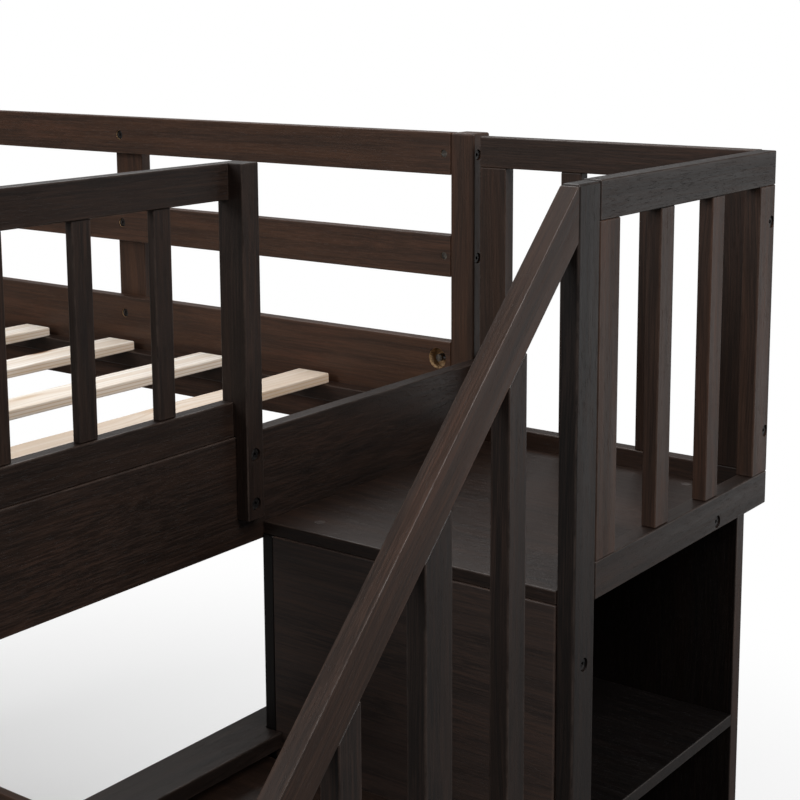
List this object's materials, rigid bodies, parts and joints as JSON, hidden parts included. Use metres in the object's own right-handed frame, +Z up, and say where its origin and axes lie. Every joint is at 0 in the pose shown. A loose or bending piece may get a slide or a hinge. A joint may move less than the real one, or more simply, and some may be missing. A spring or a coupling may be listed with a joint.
{
  "type": "bunk bed with storage stairs",
  "caption": "Dark-stained wooden bunk bed with slatted guards and a staircase with handrail, landing and open shelves at one end",
  "frame": {"origin": "middle of the footprint, on the floor", "axes": "+X runs along the bed from the head end to the staircase, +Y across it from the open front to the wall side, +Z up"},
  "size_m": [2.4084, 1.351, 1.543],
  "materials": {
    "espresso_wood": "satin",
    "raw_pine": "matte",
    "black_steel": "satin",
    "zinc_steel": "satin",
    "screw_cap": "matte"
  },
  "bodies": {
    "root": {"corner_post_back_head": "espresso_wood", "corner_post_back_stair": "espresso_wood", "corner_post_front_head": "espresso_wood", "corner_post_front_stair": "espresso_wood", "cross_nuts": "zinc_steel", "entry_guard_balusters": "espresso_wood", "entry_guard_bottom_rail": "espresso_wood", "entry_guard_post": "espresso_wood", "entry_guard_top_rail": "espresso_wood", "face_bolts": "black_steel", "first_tread_board": "espresso_wood", "first_tread_front": "espresso_wood", "guard_low_rail_back": "espresso_wood", "guard_low_rail_front": "espresso_wood", "guard_mid_posts_back": "espresso_wood", "guard_mid_posts_front": "espresso_wood", "guard_top_rail_back": "espresso_wood", "guard_top_rail_front": "espresso_wood", "handrail": "espresso_wood", "handrail_balusters": "espresso_wood", "handrail_posts": "espresso_wood", "head_guard_balusters": "espresso_wood", "head_guard_bottom_rail": "espresso_wood", "head_guard_top_rail": "espresso_wood", "landing_back_guard_bottom_rail": "espresso_wood", "landing_back_guard_top_rail": "espresso_wood", "landing_back_guard_uprights": "espresso_wood", "landing_board": "espresso_wood", "landing_front": "espresso_wood", "lower_end_cap_head": "espresso_wood", "lower_end_cap_stair": "espresso_wood", "lower_end_panel_head": "espresso_wood", "lower_end_panel_stair": "espresso_wood", "lower_ledgers": "espresso_wood", "lower_side_rail_back": "espresso_wood", "lower_side_rail_front": "espresso_wood", "lower_slats": "raw_pine", "newel_batten": "espresso_wood", "newel_post": "espresso_wood", "rail_end_bolts": "black_steel", "screw_caps": "screw_cap", "second_tread_board": "espresso_wood", "second_tread_front": "espresso_wood", "side_guard_bottom_rail": "espresso_wood", "side_guard_top_rail": "espresso_wood", "side_guard_uprights": "espresso_wood", "stair_back_board": "espresso_wood", "stair_inner_side": "espresso_wood", "stair_shelves": "espresso_wood", "third_tread_board": "espresso_wood", "third_tread_front": "espresso_wood", "tread_side_rails": "espresso_wood", "upper_end_rail_head": "espresso_wood", "upper_end_rail_stair": "espresso_wood", "upper_ledgers": "espresso_wood", "upper_side_rail_back": "espresso_wood", "upper_side_rail_front": "espresso_wood", "upper_slats": "raw_pine"}
  },
  "joints": []
}
